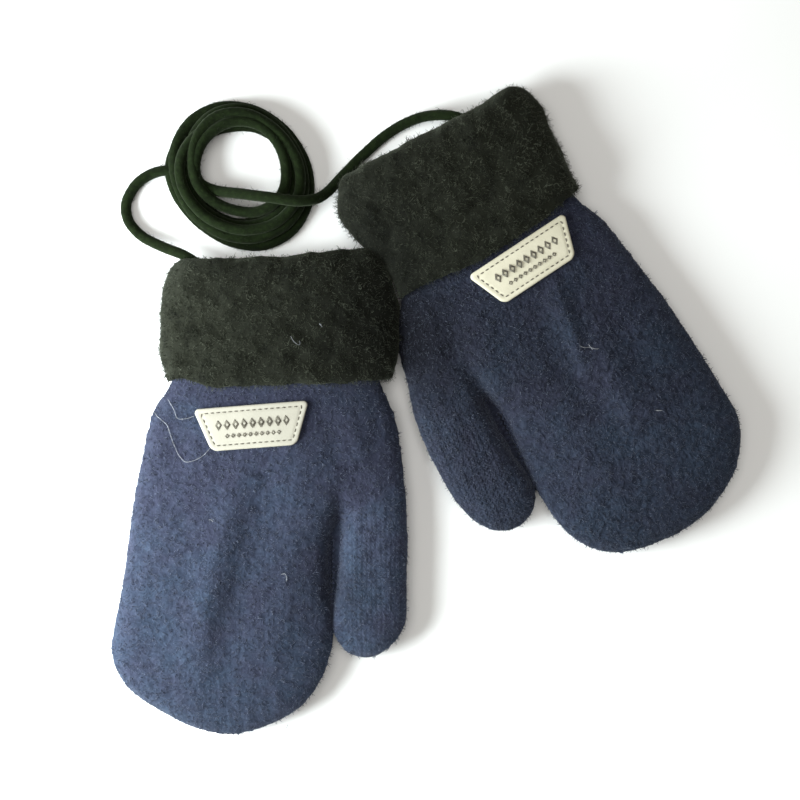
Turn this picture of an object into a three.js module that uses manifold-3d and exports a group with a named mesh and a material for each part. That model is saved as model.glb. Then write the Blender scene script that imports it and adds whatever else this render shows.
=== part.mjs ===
// A pair of baby mittens laid flat, joined by a neck cord that lies in a coil above them.
// Millimetres, +Z up, fingers towards -Y. Z = 0 is the surface that the pair lies on, and the origin is the
// bottom centre of the two mittens and their labels, without the cord.
// Each mitten is drawn in a frame of its own: "along" runs from the mouth of the cuff to the finger tip, and
// "across" runs from the little finger side, where it is negative, to the thumb side.

import * as THREE from 'three';
import * as BufferGeometryUtils from 'three/addons/utils/BufferGeometryUtils.js';
import Module from 'manifold-3d';

const wasm = await Module();
wasm.setup();

// Cloth
const clothWall = 3.6; // brushed double knit of the hand panels
const cuffWall = 3.0; // brushed knit of the cuff
const seamGap = 0.3; // between pieces that touch

// Heights of the layers. In the wrist the cuff's lower leg lies under the palm panel.
const palmBow = 1.25; // how far the palm panel's inner face drops below the seam, in the middle of the hand
const backBow = 2.3; // how far the back panel's inner face rises above the seam there
const thumbBow = 1.0; // the same for both in the thumb
const handSeam = clothWall + palmBow + seamGap / 2;
const wristUnder = cuffWall + seamGap;
const wristSeam = wristUnder + clothWall + seamGap / 2;
const wristTop = wristSeam + seamGap / 2 + clothWall;
const handTop = handSeam + seamGap / 2 + backBow + clothWall;
const thumbTop = handSeam + seamGap / 2 + thumbBow + clothWall;

// How full a section is: 1 is an ellipse, smaller is squarer
const crownPower = 0.72;
const sidePower = 0.86;
const underPower = 0.5;
const underReach = 1.18; // the underside is cut flat where it would pass the surface
const handPoints = 26; // around a section of the hand or the cuff
const thumbPoints = 16;
const stepsPerRow = 2; // rings from one row of a table to the next

// Sections of each hand panel pair. The two mittens are cut alike and lie a little differently.
const handColumns = ['along', 'farSide', 'thumbSide', 'seam', 'top', 'under'];
const leftHandRows = [
  [3.4, -25.8, 25.6, wristSeam, wristTop, wristUnder],
  [9, -27.4, 27.7, wristSeam, wristTop, wristUnder],
  [22, -27.9, 28.4, wristSeam, wristTop, wristUnder],
  [32, -28.4, 29.0, wristSeam, wristTop, wristUnder],
  [38, -29.9, 30.2, wristSeam, wristTop, wristUnder],
  [45, -34.2, 33.2, 6.1, 11.0, 1.2],
  [52, -36.5, 34.9, handSeam, 11.1, 0],
  [60, -38.5, 36.0, handSeam, handTop, 0],
  [67, -39.6, 35.4, handSeam, handTop, 0],
  [72, -40.3, 26.0, handSeam, handTop, 0],
  [76, -40.7, 16.2, handSeam, handTop, 0],
  [84, -41.7, 15.1, handSeam, handTop, 0],
  [94, -43.1, 15.2, handSeam, handTop, 0],
  [103, -44.9, 15.2, handSeam, handTop, 0],
  [110, -45.8, 14.7, handSeam, 11.0, 0],
  [116, -44.0, 13.4, handSeam, 10.6, 0],
  [122, -39.2, 9.8, handSeam, 9.8, 0.2],
  [127, -31.2, 4.8, handSeam, 8.6, 1.0],
  [130.6, -24.4, -1.4, handSeam, 7.2, 2.2],
  [132.8, -17.4, -8.0, handSeam, 5.9, 4.0],
];
const rightHandRows = [
  [3.4, -25.4, 26.4, wristSeam, wristTop, wristUnder],
  [9, -27.4, 28.3, wristSeam, wristTop, wristUnder],
  [16, -27.9, 26.8, wristSeam, wristTop, wristUnder],
  [24, -28.7, 23.6, wristSeam, wristTop, wristUnder],
  [32, -28.9, 24.1, wristSeam, wristTop, wristUnder],
  [39.5, -30.9, 26.4, wristSeam, wristTop, wristUnder],
  [45, -34.4, 28.8, 6.3, 11.0, 1.4],
  [52, -36.7, 31.6, handSeam, 11.1, 0],
  [60, -38.7, 33.6, handSeam, handTop, 0],
  [67, -40.3, 34.0, handSeam, handTop, 0],
  [71, -40.9, 25.4, handSeam, handTop, 0],
  [75, -41.4, 15.6, handSeam, handTop, 0],
  [83, -42.6, 14.4, handSeam, handTop, 0],
  [93, -43.9, 14.0, handSeam, handTop, 0],
  [101, -45.1, 13.7, handSeam, handTop, 0],
  [107, -45.2, 13.0, handSeam, 11.0, 0],
  [113, -43.0, 11.8, handSeam, 10.6, 0],
  [119, -39.4, 8.8, handSeam, 9.8, 0.2],
  [124, -33.0, 4.4, handSeam, 8.6, 1.0],
  [127.2, -26.0, -1.0, handSeam, 7.2, 2.2],
  [128.8, -18.6, -8.0, handSeam, 5.9, 4.0],
];

// Sections of each thumb. Its first rows are inside the hand.
const leftThumbRows = [
  [56, 19.0, 33.2, handSeam, 8.6, 0.5],
  [64, 17.0, 36.2, handSeam, 9.6, 0],
  [72, 16.2, 36.8, handSeam, thumbTop, 0],
  [84, 15.8, 36.9, handSeam, thumbTop, 0],
  [95, 15.9, 36.4, handSeam, thumbTop, 0],
  [102, 16.6, 35.2, handSeam, 9.6, 0],
  [107, 18.6, 32.4, handSeam, 8.6, 0.6],
  [110, 21.4, 29.4, handSeam, 7.2, 2.2],
  [111.2, 24.2, 26.8, handSeam, 5.9, 4.0],
];
const rightThumbRows = [
  [56, 18.0, 31.0, handSeam, 8.6, 0.5],
  [63, 16.0, 34.4, handSeam, 9.6, 0],
  [70, 15.4, 36.4, handSeam, thumbTop, 0],
  [80, 15.1, 37.0, handSeam, thumbTop, 0],
  [91, 14.7, 36.2, handSeam, thumbTop, 0],
  [99, 14.6, 34.4, handSeam, 9.6, 0],
  [104, 15.8, 31.9, handSeam, 8.6, 0.6],
  [107.1, 18.6, 28.8, handSeam, 7.2, 2.2],
  [108.4, 21.8, 25.6, handSeam, 5.9, 4.0],
];

// Where the panels start to bow apart, along the hand and along the thumb, and how far short of the tip they meet again
const handBowFrom = 40;
const handBowShort = 4;
const thumbBowFrom = 72;
const thumbBowShort = 2;

// The largest soft folds on the back of each hand: a ridge is positive and a trough negative
const foldColumns = ['fromAlong', 'fromAcross', 'toAlong', 'toAcross', 'halfWidth', 'height'];
const leftFolds = [
  [52, -9, 122, -20, 5, 0.9],
  [60, 0, 118, -10, 5, -0.6],
  [46, 26, 70, 20, 4, -0.7],
];
const rightFolds = [
  [48, -12, 100, -21, 5, 0.8],
  [52, -3, 96, -12, 5, -0.5],
  [46, 20, 70, 18, 4, -0.7],
];

// Cuffs. An edge's line is [shift, slant, bend]: how far it moves along, at once, for each millimetre across and for
// each square millimetre across.
const cuffFold = 3.0; // cloth between the panels' wrist ends and the outside of the turned edge
const slitHalfHeight = 0.8; // half the slit between the upper and the lower layer at the mouth
const hemRound = 0.9; // length of the hem's rounded edge
// The turned edge at the mouth: each row is how far along from the fold, and how far out from the outside or the inside
const outerTurn = [[-0.6, -0.5], [-1.9, -1.5], [-2.8, -3.2]];
const innerTurn = [[-2.8, 1.8], [-2.1, 0.5], [-0.6, 0], [0.1, 0.5]];

// Labels: leatherette trapezoids with their long edge towards the cuff
const labelLong = 31.6;
const labelShort = 23.2;
const labelWidth = 11.6;
const labelThick = 1.3;
const labelCorner = 0.9;
const labelEdgeStep = 4; // between the points along its edge
const labelInnerRing = 0.45; // size of the ring of points inside each face, as a share of the outline
const labelClearance = seamGap + 0.1; // under the label, where the panel curves between its points

// Cord
const cordThick = 3.0;
const cordSides = 8;
const coilCentre = new THREE.Vector2(-52.2, 66.1);
const coilRadius = 16.0; // to the middle of its turns
const coilWidth = 9.4;
const coilHeight = 8.0;
const coilSteps = 30;

// Where each mitten lies: the middle of its cuff's mouth, and its turn about Z. thumbSign puts the thumb right or left.
const leftMitten = {
  name: 'left',
  place: new THREE.Vector2(-42.1, 43.1),
  turn: 0,
  thumbSign: 1,
  handRows: leftHandRows,
  thumbRows: leftThumbRows,
  folds: leftFolds,
  hemAlong: 36.0,
  mouthLine: [0, -0.055, 0],
  hemLine: [0, -0.03, -0.0006],
  label: { along: 47.5, across: -6.4, turn: -4.5 },
};
const rightMitten = {
  name: 'right',
  place: new THREE.Vector2(1.3, 76.7),
  turn: 24.5,
  thumbSign: -1,
  handRows: rightHandRows,
  thumbRows: rightThumbRows,
  folds: rightFolds,
  hemAlong: 37.2,
  mouthLine: [-1.4, 0.05, 0],
  hemLine: [0, 0.115, -0.0018],
  label: { along: 43.6, across: -10.0, turn: 9.0 },
};

// Routes of the cord's free stretches, chosen by hand: across the surface, and height of the cord's middle.
const leadColumns = ['x', 'y', 'z'];
const leftLeadRows = [
  [-73.6, 67.4, 2.4],
  [-77.2, 66.2, 1.7],
  [-81.4, 63.3, 1.6],
  [-84.2, 58.3, 1.6],
  [-83.4, 53.2, 1.6],
  [-79.6, 49.1, 2.0],
  [-74.6, 46.4, 3.4],
  [-70.8, 44.9, 4.9],
  [-67.6, 43.5, 6.3],
];
const rightLeadRows = [
  [-59.8, 61.9, 4.4],
  [-55.5, 61.2, 6.4],
  [-50.6, 60.4, 8.6],
  [-45.6, 59.7, 10.2],
  [-40.6, 58.9, 10.7],
  [-35.4, 58.5, 10.4],
  [-30.4, 59.6, 8.0],
  [-27.0, 63.0, 4.6],
  [-23.8, 67.4, 2.2],
  [-19.4, 72.0, 1.6],
  [-14.0, 77.2, 1.6],
  [-7.4, 81.6, 1.9],
  [-0.8, 83.9, 3.2],
  [4.2, 83.9, 5.0],
  [8.5, 82.7, 6.8],
];

const navyKnit = { color: 0x2a3148, roughness: 0.95, metalness: 0 };
const blackKnit = { color: 0x161a17, roughness: 0.98, metalness: 0 };
const paleLeatherette = { color: 0xe2ddcb, roughness: 0.55, metalness: 0 };
const blackCord = { color: 0x141a13, roughness: 0.95, metalness: 0 };

// Named values from a row of a table
function fromRow(columns, row) {
  return Object.fromEntries(columns.map((column, index) => [column, row[index]]));
}

// A smooth value between the rows of a table, at a place counted in rows
function betweenRows(columns, rows, place) {
  const last = rows.length - 1;
  const start = Math.min(Math.floor(place), last - 1);
  const part = place - start;
  const at = (index) => rows[THREE.MathUtils.clamp(index, 0, last)];
  const values = columns.map((column, c) => {
    const [p0, p1, p2, p3] = [at(start - 1)[c], at(start)[c], at(start + 1)[c], at(start + 2)[c]];
    const rise1 = (p2 - p0) / 2;
    const rise2 = (p3 - p1) / 2;
    const bend = 2 * p1 - 2 * p2 + rise1 + rise2;
    return p1 + part * (rise1 + part * (3 * (p2 - p1) - 2 * rise1 - rise2 + part * bend));
  });
  return fromRow(columns, values);
}

// The section of a table at a given distance along the mitten
function sectionAt(rows, along) {
  const last = rows.length - 1;
  let low = 0;
  let high = last;
  for (let halving = 0; halving < 24; halving += 1) {
    const middle = (low + high) / 2;
    if (betweenRows(handColumns, rows, middle).along < along) low = middle;
    else high = middle;
  }
  return betweenRows(handColumns, rows, low);
}

// One point of a section: 0 degrees is its thumb side, 90 its top and 270 its underside. grow moves it outwards.
function sectionPoint(section, degrees, grow = 0) {
  const angle = THREE.MathUtils.degToRad(degrees);
  const cos = Math.cos(angle);
  const sin = Math.sin(angle);
  const halfWidth = (section.thumbSide - section.farSide) / 2 + grow;
  const middle = (section.thumbSide + section.farSide) / 2;
  const across = middle + halfWidth * Math.sign(cos) * Math.abs(cos) ** sidePower;
  if (sin >= 0) {
    const rise = section.top - section.seam + grow;
    return { across, z: section.seam + rise * sin ** crownPower };
  }
  const drop = section.seam - section.under + grow;
  return { across, z: Math.max(0, section.seam - drop * Math.min(1, underReach * (-sin) ** underPower)) };
}

// How high the folds lift a point of the back of the hand
function foldLift(folds, along, across) {
  let lift = 0;
  for (const row of folds) {
    const fold = fromRow(foldColumns, row);
    const part = (along - fold.fromAlong) / (fold.toAlong - fold.fromAlong);
    if (part > 0 && part < 1) {
      const line = THREE.MathUtils.lerp(fold.fromAcross, fold.toAcross, part);
      const aside = (across - line) / fold.halfWidth;
      lift += fold.height * Math.sin(Math.PI * part) * Math.exp(-aside * aside);
    }
  }
  return lift;
}

// A closed body from rings of points. It is closed at both ends by a fan, or joined end to end.
function loft(rings, joined = false) {
  const around = rings[0].length;
  const positions = rings.flat();
  const indices = [];
  const spans = joined ? rings.length : rings.length - 1;
  for (let r = 0; r < spans; r += 1) {
    const here = r * around;
    const next = ((r + 1) % rings.length) * around;
    for (let p = 0; p < around; p += 1) {
      const q = (p + 1) % around;
      indices.push(here + p, here + q, next + q, here + p, next + q, next + p);
    }
  }
  if (!joined) {
    for (const [ring, flip] of [[0, true], [rings.length - 1, false]]) {
      const centre = rings[ring].reduce((sum, point) => sum.add(point), new THREE.Vector3());
      positions.push(centre.divideScalar(around));
      for (let p = 0; p < around; p += 1) {
        const edge = [ring * around + p, ring * around + ((p + 1) % around)];
        indices.push(...(flip ? [edge[1], edge[0]] : edge), positions.length - 1);
      }
    }
  }
  return facingOut(new THREE.BufferGeometry().setFromPoints(positions).setIndex(indices));
}

// Turns a closed body's faces round if they point inwards
function facingOut(geometry) {
  const points = geometry.getAttribute('position');
  const corner = (index) => new THREE.Vector3().fromBufferAttribute(points, index);
  const indices = Array.from(geometry.index.array);
  let volume = 0;
  for (let i = 0; i < indices.length; i += 3) {
    volume += corner(indices[i]).dot(corner(indices[i + 1]).cross(corner(indices[i + 2])));
  }
  return volume < 0 ? geometry.setIndex(indices.reverse()) : geometry;
}

function toSolid(geometry) {
  const bare = geometry.clone();
  bare.deleteAttribute('normal');
  bare.deleteAttribute('uv');
  const merged = BufferGeometryUtils.mergeVertices(bare, 1e-4);
  const vertProperties = merged.getAttribute('position').array;
  const triVerts = new Uint32Array(merged.index.array);
  return new wasm.Manifold(new wasm.Mesh({ numProp: 3, vertProperties, triVerts }));
}

function toGeometry(solid) {
  const mesh = solid.getMesh();
  const geometry = new THREE.BufferGeometry();
  geometry.setAttribute('position', new THREE.BufferAttribute(mesh.vertProperties, 3));
  return geometry.setIndex(new THREE.BufferAttribute(mesh.triVerts, 1));
}

// The outside of a hand or a thumb, both panels together
function stuffedForm(mitten, rows, pointsAround, folded) {
  const rings = [];
  const steps = (rows.length - 1) * stepsPerRow;
  for (let step = 0; step <= steps; step += 1) {
    const section = betweenRows(handColumns, rows, step / stepsPerRow);
    const ring = [];
    for (let p = 0; p < pointsAround; p += 1) {
      const degrees = (360 * p) / pointsAround;
      const point = sectionPoint(section, degrees);
      const upper = Math.max(0, Math.sin(THREE.MathUtils.degToRad(degrees)));
      const lift = folded ? foldLift(mitten.folds, section.along, point.across) * upper : 0;
      ring.push(new THREE.Vector3(point.across, -section.along, point.z + lift));
    }
    rings.push(ring);
  }
  return loft(rings);
}

// How far the panels bow apart at a place, as a share: 1 in the middle of the hand or thumb and 0 near its edges
function bowShare(rows, from, to, along, across) {
  const edgeMargin = 5.5;
  const steepness = 2.2;
  if (along <= from || along >= to) return 0;
  const section = sectionAt(rows, along);
  const middle = (section.thumbSide + section.farSide) / 2;
  const reach = (section.thumbSide - section.farSide) / 2 - edgeMargin;
  const aside = (across - middle) / reach;
  const lengthways = Math.min(1, steepness * Math.sin((Math.PI * (along - from)) / (to - from)));
  return Math.max(0, 1 - aside * aside) * lengthways;
}

// A block with one shaped face, for parting the back panel from the palm panel. side is 1 for the block above.
function partingBlock(mitten, side) {
  const alongSteps = 20;
  const acrossSteps = 12;
  const [alongFrom, alongTo] = [-6, 140];
  const [acrossFrom, acrossTo] = [-52, 46];
  const farHeight = side > 0 ? 30 : -8;
  const handBow = side > 0 ? backBow : palmBow;
  const lastThumb = mitten.thumbRows[mitten.thumbRows.length - 1][0];
  const lastHand = mitten.handRows[mitten.handRows.length - 1][0];
  const rings = [];
  for (let i = 0; i <= alongSteps; i += 1) {
    const along = THREE.MathUtils.lerp(alongFrom, alongTo, i / alongSteps);
    const seam = sectionAt(mitten.handRows, along).seam;
    const ring = [];
    for (let j = 0; j <= acrossSteps; j += 1) {
      const across = THREE.MathUtils.lerp(acrossFrom, acrossTo, j / acrossSteps);
      const inHand = bowShare(mitten.handRows, handBowFrom, lastHand - handBowShort, along, across);
      const inThumb = bowShare(mitten.thumbRows, thumbBowFrom, lastThumb - thumbBowShort, along, across);
      const bow = Math.max(handBow * inHand, thumbBow * inThumb);
      ring.push(new THREE.Vector3(across, -along, seam + side * (seamGap / 2 + bow)));
    }
    ring.push(new THREE.Vector3(acrossTo, -along, farHeight));
    ring.push(new THREE.Vector3(acrossFrom, -along, farHeight));
    rings.push(ring);
  }
  return loft(rings);
}

// The cuff's cloth cut along the mitten: a distance along, and how far from the hand's own section
function cuffProfile(mitten) {
  const outside = cuffWall + seamGap;
  const inside = -(clothWall - slitHalfHeight + seamGap / 2);
  const length = mitten.hemAlong;
  const stations = [];
  for (let step = 1; step < 2 * mitten.handRows.length; step += 1) {
    const { along } = betweenRows(handColumns, mitten.handRows, step / 2);
    if (along < length - 2 * hemRound) stations.push(along);
  }
  const downTheInside = stations.map((along) => [along, seamGap]);
  const upTheOutside = [...stations].reverse().map((along) => [along, outside]);
  const fromFold = (turn, start) => turn.map(([along, grow]) => [cuffFold + along, start + grow]);
  const lastTurn = innerTurn[innerTurn.length - 1][0];
  return [
    [length - hemRound, outside],
    ...upTheOutside,
    ...fromFold(outerTurn, outside),
    ...fromFold(innerTurn, inside),
    [cuffFold + lastTurn, seamGap],
    ...downTheInside,
    [length - hemRound, seamGap],
    [length, seamGap + cuffWall / 2],
  ];
}

function cuffForm(mitten) {
  const profile = cuffProfile(mitten);
  const rings = profile.map(([along, grow]) => {
    const section = sectionAt(mitten.handRows, Math.max(along, mitten.handRows[0][0]));
    const ring = [];
    for (let p = 0; p < handPoints; p += 1) {
      const point = sectionPoint(section, (360 * p) / handPoints, grow);
      ring.push(new THREE.Vector3(point.across, -along, point.z));
    }
    return ring;
  });
  return loft(rings, true);
}

// How far a point moves along so that the cuff's mouth and hem come to their lines, with everything near them
function lineShift(mitten, along, across) {
  const evenAgain = 62;
  const shiftOf = ([shift, slant, bend]) => shift + slant * across + bend * across * across;
  const towardsHem = THREE.MathUtils.clamp(along / mitten.hemAlong, 0, 1);
  const fade = 1 - THREE.MathUtils.smoothstep(along, mitten.hemAlong, evenAgain);
  return THREE.MathUtils.lerp(shiftOf(mitten.mouthLine), shiftOf(mitten.hemLine), towardsHem) * fade;
}

function lined(mitten, geometry) {
  const points = geometry.getAttribute('position');
  for (let i = 0; i < points.count; i += 1) {
    const along = -points.getY(i);
    points.setY(i, -(along + lineShift(mitten, along, points.getX(i))));
  }
  return geometry;
}

// The height of the back panel's outside at a place, folds included
function backHeight(mitten, linedAlong, across) {
  const along = linedAlong - lineShift(mitten, linedAlong, across);
  const section = sectionAt(mitten.handRows, along);
  const middle = (section.thumbSide + section.farSide) / 2;
  const halfWidth = (section.thumbSide - section.farSide) / 2;
  const cos = Math.min(1, Math.abs((across - middle) / halfWidth)) ** (1 / sidePower);
  const sin = Math.sqrt(1 - cos * cos);
  const rise = (section.top - section.seam) * sin ** crownPower;
  return section.seam + rise + foldLift(mitten.folds, along, across) * sin;
}

// The label's outline, from its middle, with the long edge towards the cuff and small cut corners
function labelOutline() {
  const half = labelWidth / 2;
  const corners = [[-labelLong / 2, -half], [labelLong / 2, -half], [labelShort / 2, half], [-labelShort / 2, half]];
  const points = corners.map(([across, along]) => new THREE.Vector2(across, along));
  return points.flatMap((point, index) => {
    const before = points[(index + 3) % 4];
    const after = points[(index + 1) % 4];
    const cut = (other) => point.clone().add(other.clone().sub(point).setLength(labelCorner));
    return [cut(before), cut(after)];
  });
}

// A label made from the panel's own points, moved out
function labelForm(mitten) {
  const { along, across, turn } = mitten.label;
  const outline = labelOutline().map((point) => point.rotateAround(new THREE.Vector2(), THREE.MathUtils.degToRad(turn)));
  const edge = [];
  outline.forEach((point, index) => {
    const next = outline[(index + 1) % outline.length];
    const pieces = Math.max(1, Math.round(point.distanceTo(next) / labelEdgeStep));
    for (let piece = 0; piece < pieces; piece += 1) edge.push(point.clone().lerp(next, piece / pieces));
  });
  const ringAt = (scale, lift) => edge.map((point) => {
    const a = across + point.x * scale;
    const l = along + point.y * scale;
    return new THREE.Vector3(a, -l, backHeight(mitten, l, a) + lift);
  });
  const low = labelClearance;
  const high = low + labelThick;
  const rings = [[labelInnerRing, low], [1, low], [1, high], [labelInnerRing, high]];
  return loft(rings.map(([scale, lift]) => ringAt(scale, lift)));
}

function namedMesh(name, geometry, look) {
  const mesh = new THREE.Mesh(geometry, new THREE.MeshStandardMaterial(look));
  mesh.name = name;
  return mesh;
}

function placedMitten(mitten) {
  const hand = toSolid(stuffedForm(mitten, mitten.handRows, handPoints, true));
  const thumb = toSolid(stuffedForm(mitten, mitten.thumbRows, thumbPoints, false));
  const form = hand.add(thumb);
  const back = toGeometry(form.intersect(toSolid(partingBlock(mitten, 1))));
  const palm = toGeometry(form.intersect(toSolid(partingBlock(mitten, -1))));
  const pieces = [
    ['mitten_' + mitten.name + '_back', lined(mitten, back), navyKnit],
    ['mitten_' + mitten.name + '_palm', lined(mitten, palm), navyKnit],
    ['mitten_' + mitten.name + '_cuff', lined(mitten, cuffForm(mitten)), blackKnit],
    ['label_' + mitten.name, labelForm(mitten), paleLeatherette],
  ];
  const group = new THREE.Group();
  for (const [name, geometry, look] of pieces) {
    geometry.scale(mitten.thumbSign, 1, 1);
    group.add(namedMesh(name, facingOut(geometry), look));
  }
  group.position.set(mitten.place.x, mitten.place.y, 0);
  group.rotation.z = THREE.MathUtils.degToRad(mitten.turn);
  return group;
}

// A free stretch of the cord
function cordLead(rows) {
  const curve = new THREE.CatmullRomCurve3(rows.map((row) => {
    const { x, y, z } = fromRow(leadColumns, row);
    return new THREE.Vector3(x, y, z);
  }));
  const section = new THREE.Shape();
  for (let side = 0; side < cordSides; side += 1) {
    const angle = (2 * Math.PI * (side + 0.5)) / cordSides;
    const [x, y] = [Math.cos(angle) * cordThick / 2, Math.sin(angle) * cordThick / 2];
    if (side === 0) section.moveTo(x, y);
    else section.lineTo(x, y);
  }
  section.closePath();
  const stepLength = 2 * cordThick;
  const steps = Math.round(curve.getLength() / stepLength);
  return new THREE.ExtrudeGeometry(section, { steps, extrudePath: curve });
}

// The outer shape of the coiled stretch
function cordCoil() {
  const [halfWidth, halfHeight] = [coilWidth / 2, coilHeight / 2];
  const corner = cordThick / 2;
  const profile = [];
  for (const [signX, signY, from] of [[1, -1, 270], [1, 1, 0], [-1, 1, 90], [-1, -1, 180]]) {
    for (const extra of [0, 45, 90]) {
      const angle = THREE.MathUtils.degToRad(from + extra);
      const x = coilRadius + signX * (halfWidth - corner) + corner * Math.cos(angle);
      const y = halfHeight + signY * (halfHeight - corner) + corner * Math.sin(angle);
      profile.push(new THREE.Vector2(x, y));
    }
  }
  profile.push(profile[0].clone());
  const ring = new THREE.LatheGeometry(profile, coilSteps);
  ring.rotateX(Math.PI / 2);
  ring.translate(coilCentre.x, coilCentre.y, 0);
  return ring;
}

const mittens = new THREE.Group();
mittens.add(placedMitten(leftMitten));
mittens.add(placedMitten(rightMitten));

const cord = new THREE.Group();
cord.add(namedMesh('cord_lead_left', cordLead(leftLeadRows), blackCord));
cord.add(namedMesh('cord_coil', cordCoil(), blackCord));
cord.add(namedMesh('cord_lead_right', cordLead(rightLeadRows), blackCord));

// The origin goes to the middle of the mittens, measured on their points
const middle = new THREE.Box3().setFromObject(mittens, true).getCenter(new THREE.Vector3());
const pair = new THREE.Group();
pair.add(mittens);
pair.add(cord);
pair.position.set(-middle.x, -middle.y, 0);

export default pair;
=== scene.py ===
# A pair of baby mittens laid flat: navy brushed knit hands, turned-back black cuffs, pale patches, and a black neck
# cord wound in a coil above them. Metres, fingers towards -Y, and Z = 0 is the surface that the pair lies on.
import math

import bmesh
import bpy
import numpy as np
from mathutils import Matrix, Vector, noise
from mathutils.bvhtree import BVHTree
from mathutils.kdtree import KDTree


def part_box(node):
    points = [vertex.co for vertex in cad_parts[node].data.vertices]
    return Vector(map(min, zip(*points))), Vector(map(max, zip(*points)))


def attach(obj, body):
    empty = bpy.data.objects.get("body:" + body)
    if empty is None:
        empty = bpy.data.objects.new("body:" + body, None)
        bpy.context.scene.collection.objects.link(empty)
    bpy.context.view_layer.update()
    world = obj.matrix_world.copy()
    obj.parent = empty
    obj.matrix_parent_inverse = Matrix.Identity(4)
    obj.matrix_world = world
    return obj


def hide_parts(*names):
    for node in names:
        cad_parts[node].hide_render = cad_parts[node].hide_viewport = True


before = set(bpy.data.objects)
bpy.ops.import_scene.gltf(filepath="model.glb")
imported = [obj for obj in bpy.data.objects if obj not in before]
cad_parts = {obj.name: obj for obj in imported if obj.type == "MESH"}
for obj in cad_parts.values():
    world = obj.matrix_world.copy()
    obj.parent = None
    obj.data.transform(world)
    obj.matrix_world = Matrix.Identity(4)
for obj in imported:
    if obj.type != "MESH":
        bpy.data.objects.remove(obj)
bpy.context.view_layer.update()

# The camera
# It looks straight down on the pair from half a metre, and its square view is 224 mm wide at the height of the cloth.
mm = 0.001
view_width = 224 * mm
camera_distance = 500 * mm
cloth_height = 6 * mm
view_middle = Vector((-7.1, 3.2, 0)) * mm
scene = bpy.context.scene
camera_data = bpy.data.cameras.new("camera")
camera_data.sensor_width = 36
camera_data.lens = camera_data.sensor_width * camera_distance / view_width
camera = bpy.data.objects.new("camera", camera_data)
camera.location = view_middle + Vector((0, 0, cloth_height + camera_distance))
scene.collection.objects.link(camera)
scene.camera = camera

# The neck cord
# One tubular knitted cord of black wool, 3 mm thick, sewn into the mouth of both cuffs. It leaves the left cuff,
# lies in seven loose turns on the table, crosses the coil's own hole and goes on into the right cuff.
cord_thick = 3 * mm
cord_coil_low, cord_coil_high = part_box("cord_coil")
coil_drawn_at = Vector((-0.0522, 0.0661, 0))
to_frame = (cord_coil_low + cord_coil_high) / 2 - coil_drawn_at
to_frame.z = 0

# The free stretches, from the coil to each cuff, and how the cord bends out of the coil at each end
left_lead = [
    (-0.0738, 0.0681, 0.0024), (-0.0776, 0.0672, 0.0017), (-0.0821, 0.0642, 0.0016), (-0.0851, 0.0588, 0.0016),
    (-0.0844, 0.0532, 0.0016), (-0.0802, 0.0491, 0.0020), (-0.0748, 0.0464, 0.0034), (-0.0708, 0.0449, 0.0049),
    (-0.0676, 0.0435, 0.0063),
]
left_end = [(-0.0650, 0.0420, 0.0070), (-0.0635, 0.0406, 0.0073)]
left_bend = [(-0.0704, 0.0677, 0.0022), (-0.0678, 0.0662, 0.0018)]
right_bend = [(-0.0648, 0.0664, 0.0060), (-0.0639, 0.0636, 0.0050)]
right_lead = [
    (-0.0598, 0.0619, 0.0044), (-0.0555, 0.0612, 0.0064), (-0.0506, 0.0604, 0.0086), (-0.0456, 0.0597, 0.0102),
    (-0.0406, 0.0589, 0.0107), (-0.0354, 0.0582, 0.0104), (-0.0304, 0.0590, 0.0080), (-0.0268, 0.0622, 0.0046),
    (-0.0235, 0.0665, 0.0022), (-0.0190, 0.0712, 0.0016), (-0.0136, 0.0763, 0.0016), (-0.0071, 0.0808, 0.0019),
    (-0.0006, 0.0831, 0.0032), (0.0044, 0.0833, 0.0050), (0.0085, 0.0823, 0.0068),
]
right_end = [(0.0110, 0.0815, 0.0072), (0.0125, 0.0802, 0.0074)]

# The turns of the coil, in millimetres. Each row is where the cord is as it passes the coil's left side again:
# how far from the middle, how high, how far it sags inwards at the coil's lower side, and how far it bulges out
# at the upper.
coil_turns = [
    (13.6, 1.6, 0.0, 0.6),
    (16.4, 1.5, 0.0, 0.6),
    (19.3, 1.5, 0.3, 0.7),
    (17.9, 4.1, 0.3, 0.8),
    (14.9, 4.1, 0.3, 0.7),
    (16.5, 6.3, 0.6, 1.1),
    (13.2, 6.4, 2.7, 1.4),
    (13.1, 6.4, 2.7, 1.4),
]
coil_start = 191
full_turns = 7
last_turn_short = 20
coil_end = coil_start + 360 * full_turns - last_turn_short
coil_step = 12
change_over = 0.3  # share of a turn in which the cord moves to its next place
sag_at = 262
bulge_at = 95
left_bulge = 0.9 * mm  # and that much further out on the left
left_bulge_at = 178
wobble = 0.28 * mm
inner_radius = 13.1
outer_radius = 19.3
outer_oval = 1.5 * mm  # the outer turns are that much longer from the upper left to the lower right
oval_at = 135
inner_shift = Vector((0.3, 0.5)) * mm  # the inner turns lie that far off the middle


def smooth_step(value):
    value = min(1.0, max(0.0, value))
    return value * value * (3 - 2 * value)


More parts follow.
